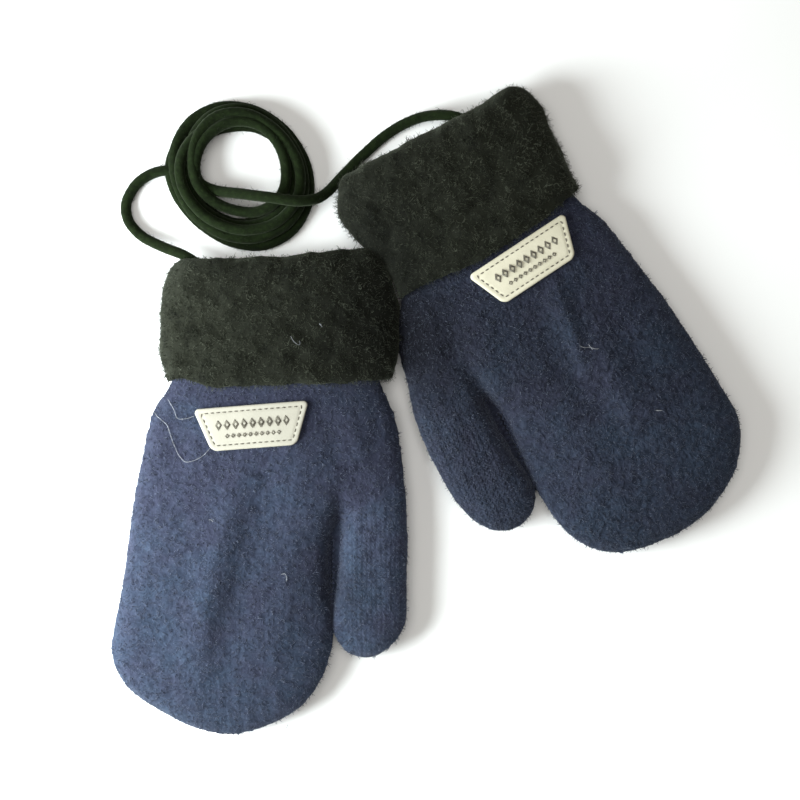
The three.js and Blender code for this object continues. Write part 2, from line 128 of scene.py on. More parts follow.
def coil_point(degrees):
    turn = (degrees - coil_start) / 360
    row = min(int(turn), len(coil_turns) - 2)
    part = smooth_step((turn - row - (1 - change_over)) / change_over)
    radius, height, sag, bulge = (a + (b - a) * part for a, b in zip(coil_turns[row], coil_turns[row + 1]))
    angle = math.radians(degrees)
    lower_side = max(0.0, math.cos(angle - math.radians(sag_at))) ** 2
    upper_side = max(0.0, math.cos(angle - math.radians(bulge_at))) ** 2
    outer = (radius - inner_radius) / (outer_radius - inner_radius)
    radius = (radius - sag * lower_side + bulge * upper_side) * mm
    radius += outer * outer_oval * math.cos(2 * (angle - math.radians(oval_at)))
    radius += outer * left_bulge * max(0.0, math.cos(angle - math.radians(left_bulge_at))) ** 2
    radius += wobble * math.sin(2 * angle + 1.7 * row) + 0.6 * wobble * math.sin(3 * angle + 2.9 * row)
    height = height * mm - 0.6 * sag * lower_side * mm
    x = coil_drawn_at.x + inner_shift.x * (1 - outer) + radius * math.cos(angle)
    y = coil_drawn_at.y + inner_shift.y * (1 - outer) + radius * math.sin(angle)
    return (x, y, height)


def even_path(points, step):
    """The same line in equal steps."""
    points = np.array(points, float)
    lengths = np.concatenate([[0], np.cumsum(np.linalg.norm(np.diff(points, axis=0), axis=1))])
    places = np.linspace(0, lengths[-1], max(2, round(lengths[-1] / step)) + 1)
    return np.stack([np.interp(places, lengths, points[:, axis]) for axis in range(3)], axis=1)


def eased_path(points, step, ease):
    """The same line with its corners eased over that distance, and its ends kept."""
    path = even_path(points, step)
    reach = round(2.5 * ease / step)
    weights = np.exp(-0.5 * (np.arange(-reach, reach + 1) * step / ease) ** 2)
    weights /= weights.sum()
    before = 2 * path[0] - path[reach:0:-1]
    after = 2 * path[-1] - path[-2:-reach - 2:-1]
    padded = np.concatenate([before, path, after])
    eased = np.stack([np.convolve(padded[:, axis], weights, "valid") for axis in range(3)], axis=1)
    return even_path(eased, step)


def tube_frames(path):
    """For each point of a path, its direction and two sideways directions that don't twist."""
    ways = np.gradient(path, axis=0)
    ways /= np.linalg.norm(ways, axis=1)[:, None]
    sides = np.zeros_like(path)
    sideways = np.cross(ways[0], (0, 0, 1))
    for i, way in enumerate(ways):
        sideways = sideways - way * np.dot(sideways, way)
        sideways /= np.linalg.norm(sideways)
        sides[i] = sideways
    return ways, sides, np.cross(ways, sides)


def tube_mesh(name, path, sides_around, radius_at):
    """A closed tube along a path, flattened where it meets the table. radius_at gives the radius for each distance
    along and each angle around."""
    ways, across, over = tube_frames(path)
    along = np.concatenate([[0], np.cumsum(np.linalg.norm(np.diff(path, axis=0), axis=1))])
    angles = np.arange(sides_around) * 2 * np.pi / sides_around
    radius = radius_at(along[:, None], angles[None, :])
    ring = across[:, None] * np.cos(angles)[None, :, None] + over[:, None] * np.sin(angles)[None, :, None]
    verts = (path[:, None] + ring * radius[:, :, None]).reshape(-1, 3)
    verts[:, 2] = np.maximum(verts[:, 2], 0.0)
    steps = len(path)
    here = np.arange(steps - 1)[:, None] * sides_around + np.arange(sides_around)[None, :]
    beside = np.arange(steps - 1)[:, None] * sides_around + (np.arange(sides_around)[None, :] + 1) % sides_around
    quads = np.stack([here, beside, beside + sides_around, here + sides_around], axis=-1).reshape(-1, 4)
    faces = quads.tolist()
    faces.append(list(range(sides_around))[::-1])
    faces.append([(steps - 1) * sides_around + i for i in range(sides_around)])
    return mesh_from(name, verts, faces)


def mesh_from(name, verts, faces):
    mesh = bpy.data.meshes.new(name)
    mesh.from_pydata(np.asarray(verts).tolist(), [], faces)
    mesh.update()
    mesh.shade_smooth()
    return mesh


def add_object(name, mesh, material):
    """A finished piece of the mittens, which all lie in one body."""
    piece = bpy.data.objects.new(name, mesh)
    scene.collection.objects.link(piece)
    if material:
        mesh.materials.append(material)
    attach(piece, "root")
    return piece


coil_path = [coil_point(degrees) for degrees in range(coil_start, coil_end + 1, coil_step)]
cord_route = left_end[::-1] + left_lead[::-1] + left_bend + coil_path + right_bend + right_lead + right_end
cord_route = [tuple(Vector(point) + to_frame) for point in cord_route]
cord_step = 0.55 * mm
cord_path = eased_path(cord_route, cord_step, 1.8 * mm)

# Five columns of knit stitches go round the cord
cord_wales = 5
cord_stitch = 1.9 * mm
cord_relief = 0.12 * mm


def cord_radius(along, angle):
    leg = np.abs(np.sin(cord_wales * angle))
    in_wale = np.abs((cord_wales * angle / np.pi) % 2 - 1)
    stitch = 0.5 + 0.5 * np.cos(2 * np.pi * along / cord_stitch + 2.4 * in_wale)
    uneven_share = np.sin(along / (2.3 * mm) + 2 * angle) * np.sin(along / (5.1 * mm) - angle)
    return cord_thick / 2 + cord_relief * (0.55 * leg + 0.45 * stitch + 0.6 * uneven_share - 0.6)


def new_node(tree, kind, inputs=None, settings=None):
    made = tree.nodes.new(kind)
    for name, value in (settings or {}).items():
        setattr(made, name, value)
    for name, value in (inputs or {}).items():
        if isinstance(value, bpy.types.NodeSocket):
            tree.links.new(value, made.inputs[name])
        else:
            made.inputs[name].default_value = value
    return made


def cloth_shader(name, roughness, sheen, sheen_tint, sheen_roughness):
    """An empty cloth material: its node tree and its shader."""
    material = bpy.data.materials.new(name)
    material.use_nodes = True
    tree = material.node_tree
    shader = tree.nodes["Principled BSDF"]
    shader.inputs["Roughness"].default_value = roughness
    shader.inputs["Specular IOR Level"].default_value = 0.1
    shader.inputs["Sheen Weight"].default_value = sheen
    shader.inputs["Sheen Tint"].default_value = (*sheen_tint, 1)
    shader.inputs["Sheen Roughness"].default_value = sheen_roughness
    return material, tree, shader


def noise_value(tree, where, size, detail=3.0, rough=0.6):
    """A noise from 0 to 1 with spots of about that size."""
    inputs = {"Vector": where, "Scale": 1 / size, "Detail": detail, "Roughness": rough}
    return new_node(tree, "ShaderNodeTexNoise", inputs).outputs["Fac"]


def colour_ramp(tree, value, stops):
    ramp = new_node(tree, "ShaderNodeValToRGB", {"Fac": value})
    elements = ramp.color_ramp.elements
    while len(elements) < len(stops):
        elements.new(0.5)
    for element, (place, colour) in zip(elements, stops):
        element.position = place
        element.color = (*colour, 1)
    return ramp.outputs["Color"]


def shaded(tree, colour):
    """The colour, darkened by the painted shade that the mesh carries, or lightened where that painted shade is below
    zero.
    """
    shade = new_node(tree, "ShaderNodeAttribute", settings={"attribute_name": "shade"}).outputs["Fac"]
    kept = new_node(tree, "ShaderNodeMath", {0: 1.0, 1: shade}, {"operation": "SUBTRACT"}).outputs["Value"]
    darker = new_node(tree, "ShaderNodeVectorMath", {0: colour, "Scale": kept}, {"operation": "SCALE"})
    return darker.outputs["Vector"]


def add_bump(tree, shader, height, distance, strength):
    inputs = {"Height": height, "Distance": distance, "Strength": strength}
    bump = new_node(tree, "ShaderNodeBump", inputs)
    tree.links.new(bump.outputs["Normal"], shader.inputs["Normal"])


def wool_material(name, colours, grain, sheen, sheen_tint, spread=0.34, curl=0.0, clouds=0.0):
    """Fluffy wool with no stitches of its own: a speckle of three tones, for fibres and for the cord. Curl is the
    share of fine crossing hairs in it, and clouds is how strongly it varies from place to place."""
    material, tree, shader = cloth_shader(name, 0.95, sheen, sheen_tint, 0.5)
    where = new_node(tree, "ShaderNodeTexCoord").outputs["Object"]
    speckle = noise_value(tree, where, grain, 4.0, 0.75)
    if curl:
        inputs = {"Vector": where, "Scale": 3 / grain, "Detail": 3.0, "Roughness": 0.6, "Distortion": 1.2,
                  "Offset": 1.0, "Gain": 1.6}
        settings = {"noise_type": "RIDGED_MULTIFRACTAL", "normalize": True}
        hairs = new_node(tree, "ShaderNodeTexNoise", inputs, settings).outputs["Fac"]
        blend = new_node(tree, "ShaderNodeMix", {"Factor": curl}, {"data_type": "FLOAT"})
        tree.links.new(speckle, blend.inputs["A"])
        tree.links.new(hairs, blend.inputs["B"])
        speckle = blend.outputs["Result"]
    if clouds:
        broad = noise_value(tree, where, 5 * mm, 2.0, 0.5)
        centred = new_node(tree, "ShaderNodeMath", {0: broad, 1: 0.5}, {"operation": "SUBTRACT"})
        inputs = {0: centred.outputs["Value"], 1: clouds, 2: speckle}
        speckle = new_node(tree, "ShaderNodeMath", inputs, {"operation": "MULTIPLY_ADD"}).outputs["Value"]
    dark, middle, light = colours
    stops = [(0.5 - spread / 2, dark), (0.5, middle), (0.5 + spread / 2, light)]
    tree.links.new(shaded(tree, colour_ramp(tree, speckle, stops)), shader.inputs["Base Color"])
    add_bump(tree, shader, speckle, 0.12 * mm, 0.6)
    return material


cord_colours = [(0.0019, 0.0040, 0.0005), (0.0036, 0.0074, 0.0010), (0.0074, 0.0138, 0.0032)]
cord_material = wool_material("black_green_wool", cord_colours, 1.2 * mm, 0.05, (0.75, 0.9, 0.6))
cord_mesh = tube_mesh("neck_cord", cord_path, 18, cord_radius)
neck_cord = add_object("neck_cord", cord_mesh, cord_material)
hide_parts("cord_lead_left", "cord_coil", "cord_lead_right")


# Loose fibres stand off the cord, as they do off the cloth. Each is a closed three-sided spike with that many
# bends.
def fibre_piece(name, roots, ways, lengths, thick, bends, curl, material, seed):
    rng = np.random.default_rng(seed)
    count = len(roots)
    angles = np.arange(3) * 2 * np.pi / 3
    place = roots
    way = ways
    rings = []
    for bend in range(bends + 1):
        sideways = np.cross(way, rng.normal(size=(count, 3)) if bend == 0 else over)
        sideways /= np.linalg.norm(sideways, axis=1)[:, None]
        over = np.cross(way, sideways)
        ring = sideways[:, None] * np.cos(angles)[None, :, None] + over[:, None] * np.sin(angles)[None, :, None]
        rings.append(place[:, None] + ring * thick / 2 * (1 - 0.6 * bend / (bends + 1)))
        place = place + way * lengths[:, None] / (bends + 1)
        way = way + curl * rng.normal(size=(count, 3))
        way /= np.linalg.norm(way, axis=1)[:, None]
    verts = np.concatenate([*rings, place[:, None]], axis=1)
    verts[:, :, 2] = np.maximum(verts[:, :, 2], 0)
    faces = [(2, 1, 0)]
    for ring_start in range(0, 3 * bends, 3):
        for side in range(3):
            here, beside = ring_start + side, ring_start + (side + 1) % 3
            faces += [(here, beside, beside + 3), (here, beside + 3, here + 3)]
    faces += [(3 * bends + side, 3 * bends + (side + 1) % 3, 3 * bends + 3) for side in range(3)]
    every = (np.arange(count)[:, None, None] * (3 * bends + 4) + np.array(faces)[None]).reshape(-1, 3)
    return add_object(name, mesh_from(name, verts.reshape(-1, 3), every.tolist()), material)


cord_fibre_count = 5200
cord_fibre_length = (0.8 * mm, 2.0 * mm)
cord_fibre_thick = 0.12 * mm
cord_fibre_depth = 0.15 * mm  # how far below the cord's surface each is rooted
cord_fibre_clear = 0.1 * mm  # and how high over the table it ends at least
rng = np.random.default_rng(11)
cord_places = rng.integers(2, len(cord_path) - 2, cord_fibre_count)
cord_ways, cord_across, cord_over = tube_frames(cord_path)
around = rng.uniform(0, 2 * np.pi, cord_fibre_count)[:, None]
outwards = cord_across[cord_places] * np.cos(around) + cord_over[cord_places] * np.sin(around)
fibre_ways = 0.6 * outwards + 1.2 * cord_ways[cord_places] * rng.choice((-1, 1), (cord_fibre_count, 1))
fibre_ways += 0.4 * rng.normal(size=(cord_fibre_count, 3))
fibre_ways /= np.linalg.norm(fibre_ways, axis=1)[:, None]
fibre_roots = cord_path[cord_places] + outwards * (cord_thick / 2 - cord_fibre_depth)
above_table = fibre_roots[:, 2] + fibre_ways[:, 2] * cord_fibre_length[1] > cord_fibre_clear
cord_fuzz = fibre_piece(
    "neck_cord_fuzz", fibre_roots[above_table], fibre_ways[above_table],
    rng.uniform(*cord_fibre_length, above_table.sum()), cord_fibre_thick, bends=1, curl=0.6,
    material=cord_material, seed=12)

# The hands
# Each hand is two panels of navy brushed knit, back and palm, cut alike with the thumb in one and sewn round
# the edge. The cloth is 3.6 mm thick with its fleece. It lies flat, softly creased, with no hand in it.
mittens = {
    "left": {"place": (-0.0421, 0.0431), "turn": 0.0, "thumb": 1},
    "right": {"place": (0.0013, 0.0767), "turn": 24.5, "thumb": -1},
}


def own_places(side, points):
    """How far along the mitten from its mouth, and how far across towards its thumb, in millimetres."""
    mitten = mittens[side]
    place = np.array(mitten["place"]) + np.array(to_frame)[:2]
    angle = math.radians(mitten["turn"])
    x = points[:, 0] - place[0]
    y = points[:, 1] - place[1]
    across = (x * math.cos(angle) + y * math.sin(angle)) * mitten["thumb"]
    along = x * math.sin(angle) - y * math.cos(angle)
    return along / mm, across / mm


def frame_place(side, along, across):
    """The point on the table under a place on the mitten."""
    mitten = mittens[side]
    angle = math.radians(mitten["turn"])
    x = mitten["thumb"] * across * mm
    y = -along * mm
    place = Vector((*mitten["place"], 0)) + to_frame
    turned = Vector((x * math.cos(angle) - y * math.sin(angle), x * math.sin(angle) + y * math.cos(angle), 0))
    return place + turned


# Creases of the back in millimetres: from and to, each along and across, then half width and height. Ridges
# are positive and troughs negative.
creases = {
    "left": [
        (52, -8, 128, -25, 4.5, 0.8),
        (56, -2, 120, -17, 5.0, -0.7),
        (44, -26, 66, -30, 3.5, -0.4),
        (42, 14, 60, 17, 2.8, -0.4),
        (43, 22, 64, 24, 2.4, 0.35),
        (46, 4, 92, 9, 7.0, 0.5),
        (74, 26, 104, 27, 4.0, -0.25),
        (86, -36, 118, -34, 4.0, -0.3),
        (90, 4, 122, -2, 3.2, 0.25),
        (62, 18.5, 98, 15.8, 2.8, -2.6),
        (68, 17.4, 113, 15.3, 1.4, -2.3),
    ],
    "right": [
        (46, -12, 108, -22, 5.0, 0.7),
        (50, -4, 102, -14, 5.0, -0.6),
        (44, -24, 62, -29, 3.2, -0.35),
        (43, 8, 66, 12, 3.0, 0.3),
        (44, 16, 66, 20, 3.0, -0.35),
        (48, -14, 88, -10.5, 2.0, 0.65),
        (50, -18, 84, -14.5, 2.4, -0.5),
        (74, 24, 100, 25, 4.0, -0.25),
        (80, 2, 116, -6, 4.0, 0.3),
        (84, -34, 112, -32, 4.0, -0.25),
        (60, 17.5, 95, 14.9, 2.8, -2.6),
        (66, 16.0, 110, 14.3, 1.4, -2.3),
    ],
}


def crease_lift(rows, along, across):
    lift = np.zeros_like(along)
    for from_along, from_across, to_along, to_across, half_width, height in rows:
        part = np.clip((along - from_along) / (to_along - from_along), 0, 1)
        line = from_across + (to_across - from_across) * part
        lift += height * np.sin(np.pi * part) * np.exp(-((across - line) / half_width) ** 2)
    return lift * mm


# Where a mitten is fuller or slacker than its plain form, in millimetres: a place along and across, how far
# round it that reaches, and by how much the sides move out
hand_swells = {
    "left": [
        (41, -31, 8, 1.5), (88, -38, 30, 0.3), (118, -34, 16, 0.7), (64, 33, 14, -0.2),
        (104, 34, 8, 1.3), (111, 24, 7, 0.6), (100, 15, 7, 0.7), (108, 17.5, 6, 1.3),
        (122, 9, 9, 0.6), (132, -14, 14, 0.6),
    ],
    "right": [
        (46, 30, 11, 3.0), (64, 30, 12, 0.9), (78, 36, 9, 0.2), (96, 36, 15, 0.7),
        (110, 26, 10, 0.8), (98, 14, 7, 0.5), (120, 4, 14, 1.4), (129, -20, 14, 0.7),
        (116, -40, 12, 0.5), (84, -43, 26, 0.8), (44, -33, 8, -0.4),
    ],
}
cuff_swells = {
    "left": [
        (4, -29, 12, 1.2), (24, -30, 12, 0.9), (35.5, -28, 6, -3.5), (28, -32.5, 5, 0.7),
        (-2, 24, 11, 1.3), (15, 34, 8, 3.1), (26, 34, 8, 2.3), (37, 34, 7, -1.2),
    ],
    "right": [
        (4, -30, 8, 0.9), (20, -30, 12, -0.5), (34, -31, 8, -1.2), (9, 32, 8, 1.0),
        (24, 32, 8, 1.8), (39, 22, 11, -2.0), (-2, -26, 8, 0.7),
    ],
}


def spots(rows, along, across):
    """The sum of soft round spots, each with a place along and across, a reach and a strength."""
    total = np.zeros_like(along)
    for at_along, at_across, reach, strength in rows:
        total += strength * np.exp(-((along - at_along) ** 2 + (across - at_across) ** 2) / reach ** 2)
    return total


def swell(rows, normals, along, across):
    """How far each point moves sideways for those rows."""
    return normals * np.array((1, 1, 0)) * (spots(rows, along, across) * mm)[:, None]


# Painted shade and painted light in the cloth's colour: darker where shade falls between the two mittens and on sides
# turned from the lamp, lighter on the left cuff's lit side. Each row is a place along and across in millimetres, how
# far round it that reaches, and the share of the colour lost
painted_shade_spots = {
    "left": [
        (18, 36, 24, 0.8), (18, -26, 13, -0.35), (50, 20, 14, 0.15), (93, 18, 9, 0.35), (96, 2, 22, 0.08),
    ],
    "right": [
        (20, 32, 20, 0.6), (50, 31, 21, 0.75), (92, 30, 18, 0.2), (64, -4, 22, 0.22),
    ],
}


def set_attribute(mesh, name, values):
    attribute = mesh.attributes.new(name, "FLOAT", "POINT")
    attribute.data.foreach_set("value", values.astype(np.float32))


# Gives a mesh its painted shade and painted light from the table above
def set_shade(mesh, side):
    along, across = own_places(side, points_of(mesh))
    set_attribute(mesh, "shade", spots(painted_shade_spots[side], along, across))


def points_of(mesh):
    points = np.empty(len(mesh.vertices) * 3, np.float32)
    mesh.vertices.foreach_get("co", points)
    return points.reshape(-1, 3).astype(float)


def normals_of(mesh):
    normals = np.empty(len(mesh.vertices) * 3, np.float32)
    mesh.vertex_normals.foreach_get("vector", normals)
    return normals.reshape(-1, 3).astype(float)


def set_points(mesh, points):
    mesh.vertices.foreach_set("co", points.astype(np.float32).ravel())
    mesh.update()


def rounded_copy(node, name, voxel, edge_rounds, face_rounds):
    """A fine mesh on a solid's form, with its corners rounded a little and its broad faces smoothed much more."""
    piece = bpy.data.objects.new(name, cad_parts[node].data.copy())
    scene.collection.objects.link(piece)
    piece.data.materials.clear()
    remesh = piece.modifiers.new("remesh", "REMESH")
    remesh.mode = "VOXEL"
    remesh.voxel_size = voxel
    bake_modifiers(piece)
    edge = piece.modifiers.new("edge", "SMOOTH")
    edge.iterations = edge_rounds
    bake_modifiers(piece)
    broad = piece.vertex_groups.new(name="broad")
    upright = np.clip((np.abs(normals_of(piece.data)[:, 2]) - 0.35) / 0.4, 0, 1)
    for index, weight in enumerate(upright.tolist()):
        if weight > 0:
            broad.add([index], weight, "REPLACE")
    face = piece.modifiers.new("face", "SMOOTH")
    face.iterations = face_rounds
    face.vertex_group = "broad"
    bake_modifiers(piece)
    piece.vertex_groups.clear()
    mesh = piece.data
    bpy.data.objects.remove(piece)
    mesh.name = name
    return mesh


def bake_modifiers(piece):
    bpy.context.view_layer.update()
    shown = piece.evaluated_get(bpy.context.evaluated_depsgraph_get())
    baked = bpy.data.meshes.new_from_object(shown)
    old = piece.data
    piece.modifiers.clear()
    piece.data = baked
    bpy.data.meshes.remove(old)


def uneven(points, size, seed):
    """A soft unevenness from -1 to 1 at each point, with lumps of about that size."""
    offset = Vector((seed * 3.7, seed * 1.3, seed * 2.1))
    return np.array([noise.noise(Vector(point) / size + offset) for point in points])


def knit_material(name, side, colours, wale, course, sheen, relief):
    """Brushed plain knit: columns of V stitches along the mitten, half hidden by fleece, with a soft mottle."""
    material, tree, shader = cloth_shader(name, 0.92, sheen, (0.72, 0.8, 1.0), 0.45)
    where = new_node(tree, "ShaderNodeTexCoord").outputs["Object"]
    angle = math.radians(mittens[side]["turn"])
    turned = new_node(tree, "ShaderNodeMapping", {"Vector": where, "Rotation": (0, 0, -angle)}).outputs["Vector"]
    push = new_node(tree, "ShaderNodeTexNoise", {"Vector": turned, "Scale": 1 / (5 * mm), "Detail": 2.0})
    pushed = new_node(tree, "ShaderNodeVectorMath", {0: push.outputs["Color"], 1: (0.5, 0.5, 0.5)},
                      {"operation": "SUBTRACT"}).outputs["Vector"]
    pushed = new_node(tree, "ShaderNodeVectorMath", {0: pushed, "Scale": 1.6 * mm},
                      {"operation": "SCALE"}).outputs["Vector"]
    turned = new_node(tree, "ShaderNodeVectorMath", {0: turned, 1: pushed}, {"operation": "ADD"}).outputs["Vector"]
    parts = new_node(tree, "ShaderNodeSeparateXYZ", {"Vector": turned}).outputs

    def calculate(operation, first, second=0.0):
        inputs = {0: first, 1: second}
        return new_node(tree, "ShaderNodeMath", inputs, {"operation": operation}).outputs["Value"]

    in_wale = calculate("FRACT", calculate("DIVIDE", parts["X"], wale))
    from_middle = calculate("ABSOLUTE", calculate("SUBTRACT", calculate("MULTIPLY", in_wale, 2.0), 1.0))
    leg = calculate("SINE", calculate("MULTIPLY", in_wale, math.pi))
    course_turns = calculate("MULTIPLY", calculate("DIVIDE", parts["Y"], course), 2 * math.pi)
    slanted = calculate("SUBTRACT", course_turns, calculate("MULTIPLY", from_middle, 3.5))
    stitch = calculate("ADD", calculate("MULTIPLY", calculate("COSINE", slanted), 0.5), 0.5)
    stitches = calculate("MULTIPLY", leg, calculate("ADD", calculate("MULTIPLY", stitch, 0.85), 0.15))
    curls = new_node(tree, "ShaderNodeTexNoise", {"Vector": where, "Scale": 1 / (2.2 * mm), "Detail": 3.0,
                                                  "Roughness": 0.55, "Lacunarity": 2.1, "Distortion": 0.9,
                                                  "Offset": 1.0, "Gain": 1.6},
                     {"noise_type": "RIDGED_MULTIFRACTAL", "normalize": True}).outputs["Fac"]
    fleece = noise_value(tree, where, 1.5 * mm, 3.0, 0.55)
    worn = new_node(tree, "ShaderNodeAttribute", settings={"attribute_name": "worn"}).outputs["Fac"]
    shown = calculate("MULTIPLY", stitches, worn)
    height = calculate("ADD", calculate("MULTIPLY", shown, 0.34), calculate("MULTIPLY", fleece, 0.66))
    height = calculate("ADD", height, calculate("MULTIPLY", curls, 0.16))
    # The cloth is coloured darker where stitches and fleece lie low and lighter where they stand high: painted shade
    # in the grooves and painted light on the tops
    dark, middle, light = colours
    lowest, highest = hand_ramp[side]
    cloth = colour_ramp(tree, height, [(lowest, dark), (0.5, middle), (highest, light)])
    # The mottle leans to its lighter, greener tints towards the fingertips: painted light, lighter where more light
    # fell
    to_tip = new_node(tree, "ShaderNodeAttribute", settings={"attribute_name": "to_tip"}).outputs["Fac"]
    mottle = noise_value(tree, where, 14 * mm, 3.0, 0.65)
    mottle = calculate("SUBTRACT", mottle, calculate("MULTIPLY", to_tip, 0.22))
    tint = colour_ramp(tree, mottle, hand_tints)
    mixed = new_node(tree, "ShaderNodeMix", {"Factor": 1.0}, {"data_type": "RGBA", "blend_type": "MULTIPLY"})
    tree.links.new(cloth, mixed.inputs["A"])
    tree.links.new(tint, mixed.inputs["B"])
    tree.links.new(shaded(tree, mixed.outputs["Result"]), shader.inputs["Base Color"])
    add_bump(tree, shader, height, 0.9 * mm, relief)
    return material


hand_colours = [(0.0165, 0.0198, 0.0350), (0.0265, 0.0318, 0.0550), (0.0415, 0.0495, 0.0800)]
# The wool leans to green in places and to purple in others: a place in the mottle, and the share of each colour
hand_tints = [
    (0.22, (0.90, 1.08, 1.06)),
    (0.38, (0.96, 1.00, 1.00)),
    (0.5, (0.96, 0.91, 0.93)),
    (0.66, (0.88, 0.79, 0.82)),
]
# Both mittens are the same cloth. The right mitten's copy is painted darker, as painted shade for the weaker light
# that reaches it, and its fleece is rougher.
# The ramp says where in the fleece the darkest and the lightest wool lie.
hand_painted_shade_tones = {"left": 0.94, "right": 0.65}
hand_relief = {"left": 0.42, "right": 0.8}
hand_ramp = {"left": (0.25, 0.8), "right": (0.34, 0.69)}
hand_wale = 1.35 * mm
hand_course = 1.15 * mm
hand_sheen = 0.25


def toned(colours, tone):
    return [tuple(tone * channel for channel in colour) for colour in colours]


# One copy of the knit for each mitten, which differ by their painted shade tone
hand_materials = {}
for side, tone in hand_painted_shade_tones.items():
    hand_materials[side] = knit_material("navy_knit_" + side, side, toned(hand_colours, tone), hand_wale,
                                         hand_course, hand_sheen, hand_relief[side])
panels = {}
for side in mittens:
    for layer, voxel in (("back", 0.64 * mm), ("palm", 1.1 * mm)):
        node = "mitten_" + side + "_" + layer
        mesh = rounded_copy(node, side + "_" + layer + "_panel", voxel, 5, 40)
        points = points_of(mesh)
        normals = normals_of(mesh)
        along, across = own_places(side, points)
        beyond_hem = np.clip((along - 36) / 8, 0, 1)
        lumps = 0.2 * uneven(points, 11 * mm, 1) + 0.18 * uneven(points, 3.6 * mm, 2)
        lumps += 0.14 * uneven(points, 1.9 * mm, 5)
        outwards = (0.4 + lumps) * mm * beyond_hem
        if layer == "back":
            facing = np.clip(normals[:, 2] / 0.5, 0, 1)
            points[:, 2] += crease_lift(creases[side], along, across) * facing
            outer = np.clip(normals[:, 2] + 0.5, 0, 1)
        else:
            outer = np.clip(0.6 - np.abs(normals[:, 2]), 0, 1)
        points += normals * (outwards * outer)[:, None]
        points += swell(hand_swells[side], normals, along, across)
        points[:, 2] = np.maximum(points[:, 2], 0)
        set_points(mesh, points)
        on_thumb = np.clip((across - 17) / 4, 0, 1) * np.clip((along - 66) / 8, 0, 1)
        worn = 0.2 + 0.25 * uneven(points, 16 * mm, 7) + 0.6 * on_thumb
        set_attribute(mesh, "worn", np.clip(worn, 0, 1))
        set_shade(mesh, side)
        # How far towards the fingertips, which the cloth's painted light follows
        set_attribute(mesh, "to_tip", np.clip((along - 40) / 85, 0, 1))
        piece = add_object(side + "_" + layer + "_panel", mesh, hand_materials[side])
        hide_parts(node)
        panels[side, layer] = piece

# The seams
# The back and the palm of each hand are overcast together round the edge with navy wool, small stitches side by
# side.
seam_height = 5.0
seam_line_height = 5.8  # where the outline that the stitches follow is taken
seam_from = 50
seam_stitch_every = 1.5
seam_stitch_tall = 2.4
seam_stitch_thick = 0.75
seam_slants = (0.15, 0.45)
seam_stray = 0.15
seam_seeds = {"left": 80, "right": 81}


def rim_loop(mesh, height):
    """The outline of a panel at a height: its longest section line, as points in order."""
    cut = bmesh.new()
    cut.from_mesh(mesh)
    everything = cut.verts[:] + cut.edges[:] + cut.faces[:]
    made = bmesh.ops.bisect_plane(cut, geom=everything, plane_co=(0, 0, height), plane_no=(0, 0, 1))["geom_cut"]
    edges = [item for item in made if isinstance(item, bmesh.types.BMEdge)]
    beside = {}
    for edge in edges:
        here, there = edge.verts
        beside.setdefault(here, []).append(there)
        beside.setdefault(there, []).append(here)
    loops = []
    left_over = set(beside)
    while left_over:
        start = left_over.pop()
        loop = [start]
        while True:
            onward = [vert for vert in beside[loop[-1]] if vert in left_over]
            if not onward:
                break
            loop.append(onward[0])
            left_over.discard(onward[0])
        loops.append([tuple(vert.co) for vert in loop])
    cut.free()
    longest = max(loops, key=len)
    return even_path(longest + longest[:1], seam_stitch_every * mm)[:-1]


def bead(along_way, across_way, up, middle, length, thick, sides=8):
    """A stitch: a spindle with round ends."""
    stations = [(-0.5, 0.15), (-0.42, 0.7), (-0.2, 1.0), (0.2, 1.0), (0.42, 0.7), (0.5, 0.15)]
    rings = []
    for place, share in stations:
        for index in range(sides):
            angle = 2 * math.pi * index / sides
            out = across_way * math.cos(angle) + up * math.sin(angle)
            rings.append(middle + along_way * (place * length) + out * (share * thick / 2))
    return rings, loft_rings([rings[i:i + sides] for i in range(0, len(rings), sides)])


def loft_rings(rings):
    """Faces between rings of equal length, with a face over the first and the last."""
    around = len(rings[0])
    faces = [list(range(around))[::-1]]
    for number in range(len(rings) - 1):
        for index in range(around):
            beside = (index + 1) % around
            low, high = number * around, (number + 1) * around
            faces.append([low + index, low + beside, high + beside, high + index])
    faces.append([(len(rings) - 1) * around + index for index in range(around)])
    return faces


def joined(parts):
    """One list of points and faces from several."""
    verts, faces = [], []
    for part_verts, part_faces in parts:
        start = len(verts)
        verts += [tuple(point) for point in part_verts]
        faces += [[start + index for index in face] for face in part_faces]
    return verts, faces


seam_colours = [(0.012, 0.015, 0.028), (0.022, 0.027, 0.048), (0.040, 0.048, 0.078)]
seam_material = wool_material("navy_seam_wool", seam_colours, 0.7 * mm, 0.15, (0.72, 0.8, 1.0))
for side in mittens:
    rng = np.random.default_rng(seam_seeds[side])
    loop = rim_loop(panels[side, "back"].data, seam_line_height * mm)
    along, across = own_places(side, loop)
    steps = np.roll(loop, -1, axis=0) - np.roll(loop, 1, axis=0)
    parts = []
    for point, step, place in zip(loop, steps, along):
        if place < seam_from:
            continue
        way = Vector(step).normalized()
        slant = (Vector((0, 0, 1)) + way * rng.uniform(*seam_slants)).normalized()
        out = way.cross(slant).normalized()
        middle = Vector((point[0], point[1], (seam_height + rng.uniform(-seam_stray, seam_stray)) * mm))
        parts.append(bead(slant, out, slant.cross(out), middle, seam_stitch_tall * mm, seam_stitch_thick * mm, 6))
    verts, faces = joined(parts)
    add_object(side + "_side_seam", mesh_from(side + "_side_seam", verts, faces), seam_material)

